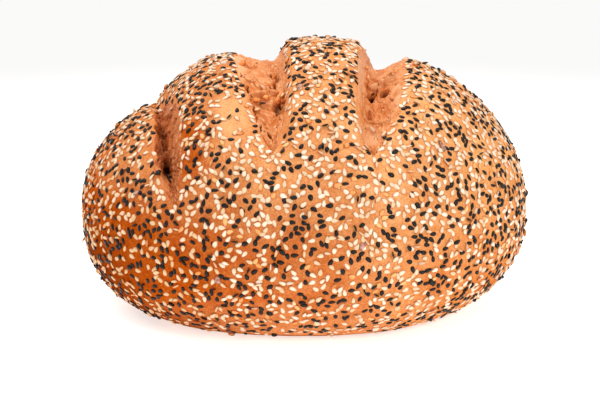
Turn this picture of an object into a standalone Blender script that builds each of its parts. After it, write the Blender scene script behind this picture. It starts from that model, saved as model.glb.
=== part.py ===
"""Country bread: an oval hearth loaf, baked in one piece, with three slashes across its crown.

Metres, +Z up. X runs along the loaf, -Y is the side it shows, and the origin is the middle of its
flat base. The crown is four humps, because the dough swelled on either side of each slash.
"""

import math
from dataclasses import dataclass

import bmesh
import bpy
import numpy as np
from mathutils import Matrix

# Driving sizes
LENGTH = 0.200
DEPTH = 0.170
HEIGHT = 0.119
WAIST = 0.046  # height of the widest level above the base
BASE_SHARE = 0.68  # the base's width as a share of the loaf's

# Roundness of the outline: 2 is an ellipse, and more is squarer
PLAN_POWER = 2.15
CROWN_POWER = 1.98
UNDERSIDE_POWER = 2.5
LEFT_FULLNESS = 0.35  # how much squarer the underside is at the left end

# The left hump sank as it baked
SLUMP = 0.13
SLUMP_FROM, SLUMP_TO = 0.28, 0.75  # shares of the half length, from the middle

# Slow unevenness of hand-shaped dough
SWELL_HEIGHT = 0.0003
SWELL_LENGTH = 0.060
SWELL_WAVES = 7
SWELL_SEED = 4

# Mesh: rings run across the loaf from end to end, and crowd together at the slashes
RINGS = 76
SEGMENTS = 58
RING_CROWDING = 2.2
CROWDING_REACH = 0.013
BEND_REACH = 0.022  # rings this near a slash bend along with it
RIM_CLEARANCE = 0.0016  # vertices this near the base's rim are merged into it

CRUST_COLOUR = (0.70, 0.31, 0.10, 1.0)
CRUST_ROUGHNESS = 0.55


@dataclass
class Slash:
    """One cut across the crown, torn open by the oven."""

    crown_x: float  # where it crosses the crown
    end_x: float  # where it ends at the front
    left: float  # half widths at the crown
    right: float
    left_floor: float  # share of each half width that is floor and not wall
    right_floor: float
    depth: float
    left_shoulder: float  # how far the crust beside it dips
    right_shoulder: float
    front: float  # how far it runs down, as an angle from the crown
    back: float


SHOULDER_WIDTH = 0.016
SLASHES = (
    Slash(
        crown_x=-0.0650, end_x=-0.0540, left=0.0070, right=0.0060, left_floor=0.10, right_floor=0.30,
        depth=0.0056, left_shoulder=0.0012, right_shoulder=0.0000,
        front=math.radians(84), back=math.radians(72),
    ),
    Slash(
        crown_x=-0.0180, end_x=-0.0135, left=0.0160, right=0.0106, left_floor=0.08, right_floor=0.56,
        depth=0.0070, left_shoulder=0.0062, right_shoulder=0.0024,
        front=math.radians(68), back=math.radians(64),
    ),
    Slash(
        crown_x=0.0352, end_x=0.0285, left=0.0104, right=0.0115, left_floor=0.35, right_floor=0.15,
        depth=0.0094, left_shoulder=0.0040, right_shoulder=0.0012,
        front=math.radians(69), back=math.radians(62),
    ),
)


def ease(t):
    """0 up to 0, 1 from 1, and smooth between."""
    t = np.clip(t, 0.0, 1.0)
    return t * t * (3.0 - 2.0 * t)


def blank_loaf(directions):
    """Points of the loaf before slashing, about the middle of its widest level."""
    dx, dy, dz = directions.T
    under = dz < 0.0
    plan = (np.abs(dx) ** PLAN_POWER + np.abs(dy) ** PLAN_POWER) ** (1.0 / PLAN_POWER)
    power = np.where(under, UNDERSIDE_POWER + LEFT_FULLNESS * ease(-dx), CROWN_POWER)
    reach = (plan**power + np.abs(dz) ** power) ** (-1.0 / power)
    # The underside would end this far down, but the base cuts it off at the waist's height
    drop = WAIST / (1.0 - BASE_SHARE**UNDERSIDE_POWER) ** (1.0 / UNDERSIDE_POWER)
    rise = np.where(under, drop, HEIGHT - WAIST)
    x = LENGTH / 2 * reach * dx
    y = DEPTH / 2 * reach * dy
    z = rise * reach * dz
    leftness = ease((-x / (LENGTH / 2) - SLUMP_FROM) / (SLUMP_TO - SLUMP_FROM))
    z = np.where(under, z, z * (1.0 - SLUMP * leftness))
    return np.stack([x, y, z], axis=1)


def slash_sink(slash, x, lean):
    """How deep one slash and its shoulders sink the surface. lean is the angle from the crown."""
    along = lean / np.where(lean > 0.0, slash.front, slash.back)
    across = x - (slash.crown_x + (slash.end_x - slash.crown_x) * along)
    left_side = across < 0.0
    opening = 0.35 + 0.65 * np.sqrt(np.clip(1.0 - along**2, 0.0, 1.0))
    width = np.where(left_side, slash.left, slash.right) * opening
    floor = np.where(left_side, slash.left_floor, slash.right_floor)
    cut = 1.0 - ease((np.abs(across) / width - floor) / (1.0 - floor))
    cut *= ease((1.0 - np.abs(along)) * 2.2)
    shoulder = np.exp(-((across / SHOULDER_WIDTH) ** 2)) * ease((1.12 - np.abs(along)) * 1.6)
    dip = np.where(left_side, slash.left_shoulder, slash.right_shoulder)
    return slash.depth * cut + dip * shoulder


def swell(points):
    """Slow bumps and hollows, as a height for each point."""
    rng = np.random.default_rng(SWELL_SEED)
    height = np.zeros(len(points))
    for _ in range(SWELL_WAVES):
        heading = rng.normal(size=3)
        heading *= 2.0 * math.pi / SWELL_LENGTH / np.linalg.norm(heading)
        height += np.sin(points @ heading + rng.uniform(0.0, 2.0 * math.pi))
    return SWELL_HEIGHT * height


def loaf_points(directions):
    """The finished surface, with its base at Z = 0."""
    points = blank_loaf(directions)
    x, y, z = points.T
    lean = np.arctan2(-y / (DEPTH / 2), z / (HEIGHT - WAIST))
    from_axis = np.hypot(y, z)
    sink = sum(slash_sink(slash, x, lean) for slash in SLASHES) - swell(points)
    shrink = 1.0 - sink / np.maximum(from_axis, 0.02)
    return np.stack([x, y * shrink, WAIST + z * shrink], axis=1)


def ring_angles():
    """Angles of the rings from the loaf's left end, closer together where the slashes are."""
    fine = np.linspace(0.0, math.pi, 2000)
    x = -np.cos(fine) * LENGTH / 2
    middles = [(slash.crown_x + slash.end_x) / 2 for slash in SLASHES]
    crowding = 1.0 + RING_CROWDING * sum(np.exp(-(((x - m) / CROWDING_REACH) ** 2)) for m in middles)
    share = np.cumsum(crowding)
    share = (share - share[0]) / (share[-1] - share[0])
    return np.interp(np.linspace(0.0, 1.0, RINGS + 1), share, fine)


def sphere_directions(sphere):
    """Each sphere vertex's direction, once its poles lie along X and its rings follow the slashes."""
    unit = np.array([vert.co for vert in sphere.verts])
    rings = np.rint(np.arccos(np.clip(-unit[:, 0], -1.0, 1.0)) / math.pi * RINGS).astype(int)
    along = -np.cos(ring_angles()[rings])
    lean = np.arctan2(-unit[:, 1], unit[:, 2])
    bend = 0.0
    for slash in SLASHES:
        near = np.exp(-(((along * LENGTH / 2 - slash.crown_x) / BEND_REACH) ** 2))
        run = np.where(lean > 0.0, slash.front, slash.back)
        past_end = ease((np.abs(lean) - run) / (math.pi - run))
        drift = np.clip(lean / run, -1.0, 1.0) * (1.0 - past_end)
        bend += near * drift * (slash.end_x - slash.crown_x) / (LENGTH / 2)
    along = np.clip(along + bend, -1.0, 1.0)
    around = np.sqrt(1.0 - along**2)
    turn = np.arctan2(unit[:, 2], unit[:, 1])
    return np.stack([along, around * np.cos(turn), around * np.sin(turn)], axis=1)


def cut_base(loaf):
    """Cuts the loaf off flat at Z = 0, merges the slivers along the cut and closes it with one face."""
    everything = loaf.verts[:] + loaf.edges[:] + loaf.faces[:]
    cut = bmesh.ops.bisect_plane(
        loaf, geom=everything, dist=1e-6, plane_co=(0, 0, 0), plane_no=(0, 0, 1), clear_inner=True
    )
    rim = {item for item in cut["geom_cut"] if isinstance(item, bmesh.types.BMVert)}
    merged = {}
    for vert in rim:
        for edge in vert.link_edges:
            other = edge.other_vert(vert)
            if other not in rim and edge.calc_length() < RIM_CLEARANCE:
                merged[other] = vert
    bmesh.ops.weld_verts(loaf, targetmap=merged)
    rim = [vert for vert in loaf.verts if vert.is_boundary]
    bmesh.ops.remove_doubles(loaf, verts=rim, dist=RIM_CLEARANCE)
    bmesh.ops.contextual_create(loaf, geom=[edge for edge in loaf.edges if edge.is_boundary])


def crust_material():
    material = bpy.data.materials.new("crust")
    material.use_nodes = True
    shader = material.node_tree.nodes["Principled BSDF"]
    shader.inputs["Base Color"].default_value = CRUST_COLOUR
    shader.inputs["Roughness"].default_value = CRUST_ROUGHNESS
    return material


def build_loaf(collection):
    loaf = bmesh.new()
    bmesh.ops.create_uvsphere(
        loaf, u_segments=SEGMENTS, v_segments=RINGS, radius=1.0, matrix=Matrix.Rotation(math.pi / 2, 4, "Y")
    )
    for vert, point in zip(loaf.verts, loaf_points(sphere_directions(loaf))):
        vert.co = point
    cut_base(loaf)
    low = np.min([vert.co for vert in loaf.verts], axis=0)
    high = np.max([vert.co for vert in loaf.verts], axis=0)
    middle = (low + high) / 2
    bmesh.ops.translate(loaf, verts=loaf.verts, vec=(-middle[0], -middle[1], 0.0))
    bmesh.ops.recalc_face_normals(loaf, faces=loaf.faces)

    mesh = bpy.data.meshes.new("loaf")
    loaf.to_mesh(mesh)
    loaf.free()
    mesh.shade_smooth()
    mesh.set_sharp_from_angle(angle=math.radians(40))
    mesh.materials.append(crust_material())
    collection.objects.link(bpy.data.objects.new("loaf", mesh))


def main():
    for old in list(bpy.data.objects):
        bpy.data.objects.remove(old)
    bread = bpy.data.collections.new("country_bread")
    bpy.context.scene.collection.children.link(bread)
    build_loaf(bread)


main()
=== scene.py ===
"""Looks of the country bread: its crust, the torn crumb in its three slashes and its coat of sesame.

Metres, +Z up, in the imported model's frame. X runs along the loaf, across the slashes, and -Y is the
side it shows. A place on the loaf is x, its station, and lean, the angle around the long axis from
the crown, positive towards the front. Tables are written in millimetres and degrees.
"""

import itertools
import math
from dataclasses import dataclass

import bpy
import numpy as np
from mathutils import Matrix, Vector
from mathutils.kdtree import KDTree


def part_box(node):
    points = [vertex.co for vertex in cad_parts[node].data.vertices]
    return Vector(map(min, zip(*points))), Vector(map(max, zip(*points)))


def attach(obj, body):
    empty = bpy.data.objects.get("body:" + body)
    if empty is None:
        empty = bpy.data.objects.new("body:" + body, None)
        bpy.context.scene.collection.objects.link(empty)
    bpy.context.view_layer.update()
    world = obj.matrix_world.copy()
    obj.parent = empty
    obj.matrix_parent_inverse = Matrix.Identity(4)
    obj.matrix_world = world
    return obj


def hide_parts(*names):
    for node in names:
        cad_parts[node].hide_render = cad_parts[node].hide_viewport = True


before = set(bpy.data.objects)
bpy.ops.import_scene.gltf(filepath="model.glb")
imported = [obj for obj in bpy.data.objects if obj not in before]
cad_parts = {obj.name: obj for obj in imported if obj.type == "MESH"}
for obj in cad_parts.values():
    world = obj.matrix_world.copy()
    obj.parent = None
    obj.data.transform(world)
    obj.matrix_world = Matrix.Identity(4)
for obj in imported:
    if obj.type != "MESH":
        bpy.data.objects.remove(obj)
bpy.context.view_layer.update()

MM = 0.001
DEGREE = math.pi / 180


def measured(rows, lengths, angles=()):
    """The same rows in metres and radians. lengths and angles say which columns are in mm and degrees."""
    scales = {**dict.fromkeys(lengths, MM), **dict.fromkeys(angles, DEGREE)}
    return tuple(
        tuple(value * scales[place] if place in scales else value for place, value in enumerate(row))
        for row in rows
    )


def crust_patches(*rows):
    """Places on the crust in metres and radians, given as x, lean and two sizes."""
    return measured(rows, lengths=(0, 2, 3), angles=(1,))


# The loaf's sizes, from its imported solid
LOW, HIGH = (np.array(corner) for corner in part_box("loaf"))
LENGTH, DEPTH, HEIGHT = HIGH - LOW
WAIST = 0.387 * HEIGHT  # height of the widest level above the base
CROWN = HEIGHT - WAIST
BASE_SHARE = 0.68  # the base's width as a share of the loaf's

# Roundness of the outline: 2 is an ellipse, and more is squarer
PLAN_POWER = 2.15
CROWN_POWER = 1.98
UNDERSIDE_POWER = 2.5
LEFT_FULLNESS = 0.35  # how much squarer the underside is at the left end

# How far below the waist the underside would round off, if no flat base cut it
DROP = WAIST / (1.0 - BASE_SHARE**UNDERSIDE_POWER) ** (1.0 / UNDERSIDE_POWER)

# The left hump sank as it baked: by what share, and between which shares of the way to the left end
SLUMP = 0.13
SLUMP_FROM, SLUMP_TO = 0.28, 0.75

# Unevenness of hand-shaped dough: height and size of the bumps
SWELLS = ((0.45 * MM, 22 * MM), (0.16 * MM, 7 * MM))
RIM_ROUNDING = 1.2 * MM

# Shallow hollows in the crust: x, lean, radius and depth
DENTS = crust_patches(
    (-3, 64, 11, 1.3), (-50, 84, 7, 1.2), (-15, 96, 12, 0.9), (44, 78, 13, 0.8),
    (20, -70, 14, 1.2), (-40, -82, 10, 1.0), (62, -58, 12, 1.0),
)

# How far across a slash's profile is worked out, at what step, and how much corners are rounded
PROFILE_REACH = 36 * MM
PROFILE_STEP = 0.1 * MM
PROFILE_ROUNDING = 0.9 * MM
EDGE_ROUNDING = 0.8  # in degrees of lean, for the crust's edges

# A slash's trough: its width at its ends as a share of its width at the crown, how fast it deepens
# from its ends, and how far behind the crown the back profile has taken over
NARROWEST = 0.35
DEEPENING = 1.9
BACK_BLEND = math.radians(14)

# Crust mesh
RINGS = 270
UPPER_SPOKES = 236
UNDER_SPOKES = 54
UPPER_REACH = math.radians(108)  # how far down each side the close spokes run
RING_CROWDING = 1.3  # how many more rings there are at a slash, as a share
CROWDING_REACH = 14 * MM
BEND_REACH = 22 * MM  # how far beside a slash the rings still bend with it
END_REACH = 12 * MM  # how far from the loaf's ends they do so less
TORN_EDGE = 0.7 * MM  # how wide the crust's step down to the crumb is
EDGE_GLOW = 2.5 * MM  # how far from there the crust takes on its edge's colour

# Crumb mesh
CRUMB_ROWS = 460
CRUMB_COLUMNS = 112
TUCK = 2.0 * MM  # how far the crumb runs on under the crust
BACKING = 3.2 * MM  # how far below the crumb the crust mesh closes the loaf

# Seeds
SEED_ROOM = 0.8 * MM  # how far the seeds stand out of the crust
SEEDS_PER_CM2 = 41.0  # before the ones that fall on others are dropped
SEED_SIDES = 12
SEED_SPREAD = (0.07, 0.07, 0.10)  # how much seeds differ in length, width and thickness
SEED_BOW = 0.04  # how much seeds bend sideways, as a share of their width
TOUCHING = 2.0 * MM  # seeds nearer than this lie on each other
NEIGHBOURHOOD = 4.0 * MM
DROPPED_ON_ANOTHER = 0.86  # chance that a seed is dropped for each one it lies on
DROPPED_IN_A_CROWD = 0.17  # and for each one beyond two in its neighbourhood
STANDING_SHARE = 0.07  # seeds that stand on edge
BLACK_SHARE, BLACK_CLUMPING = 0.368, 0.26
GOLDEN_SHARE, GOLDEN_CLUMPING = 0.08, 0.14  # of the pale seeds
SEED_LIFT = 0.08 * MM
STANDING_LIFT = 0.45 * MM
LAYER_LIFT = 0.55 * MM  # how much higher a seed lies on another
FLAKE_LIFT = 0.45 * MM
KNOB_LIFT = 0.9 * MM
FALLEN_TOASTING = 0.3

# Length, width and thickness, then how far the tip sticks out and how much narrower that end is
PALE_SEED = ((3.40 * MM, 2.06 * MM, 0.95 * MM), (0.05, 0.26))
BLACK_SEED = ((3.02 * MM, 1.88 * MM, 0.92 * MM), (0.02, 0.18))
BRAN_FLAKE = ((4.3 * MM, 2.3 * MM, 0.35 * MM), (0.04, 0.2))
KNOB_SHAPE = (0.0, 0.2)
SESAME_SHAPES = {"pale_sesame": PALE_SEED, "golden_sesame": PALE_SEED, "black_sesame": BLACK_SEED}

# Where seeds are few and the crust is pale: x, lean, and half sizes across and along
BALD_PATCHES = crust_patches((-30, 42, 10, 20), (-20, -43, 8, 14))
BALD_SHARE = 0.10  # the share of the usual seeds that stuck there

# Where seeds are few but the crust is as brown as elsewhere, given the same way
SPARSE_PATCHES = crust_patches((-66, 56, 5.2, 17))

# Where the crust is darker beside the left slash, partly browner and partly painted shade, given the same
# way
BROWNER_AND_SHADED_PATCHES = crust_patches((-50, 55, 13, 28), (-48, -50, 10, 18))

# Seeds that fell into the slashes: kind, slash, lean, across, roll and pitch in radians, and lift
FALLEN_SEEDS = measured(
    (
        ("golden_sesame", "middle", 34, 7.4, 0.3, 0.5, 1.0),
        ("golden_sesame", "middle", 21, -7.6, 0.3, 0.2, 0.8),
        ("black_sesame", "middle", 33.4, -2.4, 0.5, 0.9, 2.0),
        ("pale_sesame", "middle", 38, -4.6, 0.3, 0.1, 0.7),
        ("pale_sesame", "middle", 24, -1.9, 0.2, 0.1, 0.6),
        ("pale_sesame", "middle", 31, 7.6, 0.5, 0.4, 1.0),
        ("pale_sesame", "right", 46, -1.6, 0.4, 0.9, 1.3),
        ("pale_sesame", "right", 49, 3.2, 0.2, 0.2, 0.6),
        ("black_sesame", "left", 62, -4.4, 0.3, 0.2, 0.7),
        ("black_sesame", "left", 65, 0.6, 0.4, 0.3, 0.9),
        ("black_sesame", "left", 63.6, 0.2, 0.2, 0.3, 1.0),
        ("pale_sesame", "left", 24, 4.4, 0.3, 0.2, 0.3),
    ),
    lengths=(3, 6), angles=(2,),
)

# Toasted knobs of dough in the slashes: slash, lean, across, turn, length, width and thickness
KNOBS = measured(
    (
        ("middle", 33, -5.2, 25, 5.6, 2.2, 2.4), ("middle", 30.8, -0.8, 66, 4.4, 2.2, 2.4),
        ("middle", 31, 6.0, 92, 7.6, 3.0, 3.2), ("middle", 9.4, -9.2, 80, 3.6, 2.8, 2.4),
        ("middle", -34, 2.0, 40, 3.4, 2.4, 1.6), ("right", 20.5, -5.6, 90, 2.6, 1.4, 1.2),
        ("right", 8, -7.6, 20, 2.8, 1.8, 1.6), ("right", -24, 2.0, 70, 3.2, 2.0, 1.8),
    ),
    lengths=(2, 4, 5, 6), angles=(1, 3),
)

# Bran flakes from the dough: x, lean, roll and pitch in radians
FLAKES = measured(
    (
        (-1.8, 32, 0.1, 0.15), (-71, 70, 0.2, 0.1), (24, 88, -0.1, 0.1), (-36, 101, 0.1, -0.1),
        (58, 52, 0.2, 0.1), (10, -38, -0.2, 0.1), (-47, -75, 0.1, 0.2), (66, -84, -0.2, -0.1),
    ),
    lengths=(0,), angles=(1,),
)

# Small holes in the crumb: how many, least and greatest radius and stretch, and depth in radii
COARSE_HOLES = (
    (70, 0.35, 0.6, 1.0, 2.0, 2.0),
    (14, 0.6, 1.0, 1.0, 1.8, 2.0),
    (22, 0.4, 0.7, 4.0, 9.0, 2.6),
)
FINE_HOLES = (
    (360, 0.28, 0.50, 1.0, 1.6, 2.0),
    (60, 0.50, 0.85, 1.0, 1.8, 1.8),
    (12, 0.4, 0.6, 3.0, 6.0, 2.2),
)


@dataclass
class Slash:
    """One cut across the crown, torn open by the oven. Distances across are from its centre line.

    It is given in millimetres and degrees, and its methods work in metres and radians. Pairs are for
    its left and right side.
    """

    name: str
    crown_x: float
    end_x: float
    profile: tuple  # across and depth at the crown, from left to right
    front: float  # how far the trough runs down, as a lean
    back: float
    left_edge: tuple  # where the crust stops: lean and across, from back to front
    right_edge: tuple
    ragged: tuple  # how far the crust's torn edges wander
    step: tuple  # how far the crumb lies below the crust at its edges
    seam: tuple  # how deep the splits along those edges are
    pits: tuple  # large holes: lean, across, radius across, radius along, depth and flat share
    strands: tuple  # raised strands: lean and across of both ends, half width and height
    floury: tuple  # smooth pale patches, some of them partly painted light on lit ledges and walls: lean, across, half sizes across and along
    toasted: tuple  # darker patches, partly browner crumb and partly painted shade in hollows and under ledges, given the same way
    seed: int
    roughness: float = 1.0  # how strong the crumb's folds are, as a share of the usual
    holes: tuple = COARSE_HOLES
    back_profile: tuple = ()  # the profile behind the crown, where it differs

    def __post_init__(self):
        self.crown_x *= MM
        self.end_x *= MM
        self.front = math.radians(self.front)
        self.back = math.radians(self.back)
        self.ragged, self.step, self.seam = measured((self.ragged, self.step, self.seam), (0, 1))
        self.pits = measured(self.pits, (1, 2, 3, 4), (0,))
        self.strands = measured(self.strands, (1, 3, 4, 5), (0, 2))
        self.floury = measured(self.floury, (1, 2, 3), (0,))
        self.toasted = measured(self.toasted, (1, 2, 3), (0,))
        self.holes = measured(self.holes, (1, 2))
        self.crumb = tuple(math.radians(self.left_edge[end][0]) for end in (0, -1))
        self.profile_across = np.arange(-PROFILE_REACH, PROFILE_REACH, PROFILE_STEP)
        self.profile_depth, self.back_depth = (
            softened(measured(profile, (0, 1)), self.profile_across, PROFILE_ROUNDING)
            for profile in (self.profile, self.back_profile or self.profile)
        )
        self.edge_leans = np.arange(-80.0, 85.0, 0.25)  # in degrees
        self.edges = [
            softened(measured(edge, (1,)), self.edge_leans, EDGE_ROUNDING)
            for edge in (self.left_edge, self.right_edge)
        ]

    def along(self, lean):
        """From -1 at the trough's back end to 1 at its front end."""
        return lean / np.where(lean > 0.0, self.front, self.back)

    def station(self, lean, across=0.0):
        """The x of a place that far across from the centre line."""
        return self.crown_x + (self.end_x - self.crown_x) * self.along(lean) + across

    def lips(self, lean):
        """Where the crust ends on the left and the right, across, at each lean."""
        line = np.stack([lean * DEPTH / 2, np.zeros_like(lean), np.zeros_like(lean)], axis=-1)
        lips = [np.interp(np.degrees(lean), self.edge_leans, edge) for edge in self.edges]
        settled = ease((lips[1] - lips[0]) / (5 * MM))  # straighter where the slash closes
        for index, side in enumerate((-1, 1)):
            wander = GRAIN(line + self.seed + side * 0.37, 7 * MM) + 0.7 * GRAIN(line - self.seed, 2.0 * MM)
            lips[index] = lips[index] + side * self.ragged[index] * wander * settled
        return np.minimum(*lips), np.maximum(*lips)

    def crumb_across(self, share, lean):
        """How far across a share of the crumb's width is, from its edge under the left crust."""
        left, right = self.lips(lean)
        return left - TUCK + share * (right - left + 2 * TUCK)

    def cut(self, x, lean):
        """Across, and where the crust ends on the left and the right there."""
        return (x - self.station(lean), *self.lips(lean))

    def sink(self, x, lean):
        """How deep the trough and its shoulders sink the surface."""
        across, along = x - self.station(lean), self.along(lean)
        opening = NARROWEST + (1.0 - NARROWEST) * np.sqrt(np.clip(1.0 - along**2, 0.0, 1.0))
        depth, back_depth = (
            np.interp(across / opening, self.profile_across, profile)
            for profile in (self.profile_depth, self.back_depth)
        )
        depth += (back_depth - depth) * ease(-lean / BACK_BLEND)
        return depth * ease((1.0 - np.abs(along)) * DEEPENING)

    def hollow(self, x, lean):
        """How much deeper the crumb lies than the trough: its holes, less its strands."""
        across = x - self.station(lean)
        down = lean * DEPTH / 2
        deeper = np.zeros_like(x)
        for pit_lean, pit_across, wide, long, depth, flat in self.pits:
            off = np.hypot((across - pit_across) / wide, (down - pit_lean * DEPTH / 2) / long)
            deeper += depth * (1.0 - ease((off - flat) / (1.0 - flat)))
        for lean_a, across_a, lean_b, across_b, half_width, height in self.strands:
            start = np.array([across_a, lean_a * DEPTH / 2])
            run = np.array([across_b, lean_b * DEPTH / 2]) - start
            share = ((across - start[0]) * run[0] + (down - start[1]) * run[1]) / (run @ run)
            share = np.clip(share, 0.0, 1.0)
            off = np.hypot(across - start[0] - share * run[0], down - start[1] - share * run[1])
            deeper -= height * (1.0 - ease(off / half_width)) * ease(8 * share) * ease(8 * (1.0 - share))
        return deeper

    def patched(self, patches, x, lean, softness):
        """1 in these patches, 0 elsewhere, and between over that share of their size."""
        across = x - self.station(lean)
        share = np.zeros_like(x)
        for patch_lean, patch_across, wide, long in patches:
            down = (lean - patch_lean) * DEPTH / 2
            off = np.hypot((across - patch_across) / wide, down / long)
            share = np.maximum(share, 1.0 - ease((off - 1.1 + softness) / softness))
        return share


class Grain:
    """Smooth random noise in space, the same each run: a random slope at each corner of a lattice."""

    def __init__(self, seed):
        rng = np.random.default_rng(seed)
        self.order = rng.permutation(256)
        self.slopes = rng.normal(size=(256, 3))
        self.slopes *= 1.6 / np.linalg.norm(self.slopes, axis=1, keepdims=True)

    def __call__(self, points, size):
        """Noise from about -1 to 1 whose bumps are size apart; size may differ by axis."""
        points = np.asarray(points) / size
        corner = np.floor(points).astype(int)
        offset = points - corner
        blend = offset**3 * (offset * (offset * 6.0 - 15.0) + 10.0)
        total = np.zeros(points.shape[:-1])
        for step in itertools.product((0, 1), repeat=3):
            index = np.zeros(points.shape[:-1], int)
            for axis in range(3):
                index = self.order[(index + corner[..., axis] + step[axis]) % 256]
            weight = np.prod(np.where(step, blend, 1.0 - blend), axis=-1)
            total += weight * np.sum(self.slopes[index] * (offset - step), axis=-1)
        return total


def ease(t):
    """0 up to 0, 1 from 1, and smooth between."""
    t = np.clip(t, 0.0, 1.0)
    return t * t * (3.0 - 2.0 * t)


def softened(corners, at, blur):
    """The line through corners, with its corners rounded over that width, read at evenly spaced places."""
    places, levels = zip(*corners)
    step = at[1] - at[0]
    spread = np.arange(-4 * blur, 4 * blur + step / 2, step)
    weight = np.exp(-((spread / blur) ** 2) / 2)
    line = np.interp(at, places, levels)
    padded = np.concatenate([np.full(len(spread) // 2, line[0]), line, np.full(len(spread) // 2, line[-1])])
    return np.convolve(padded, weight / weight.sum(), mode="valid")[: len(at)]


GRAIN = Grain(11)

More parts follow.
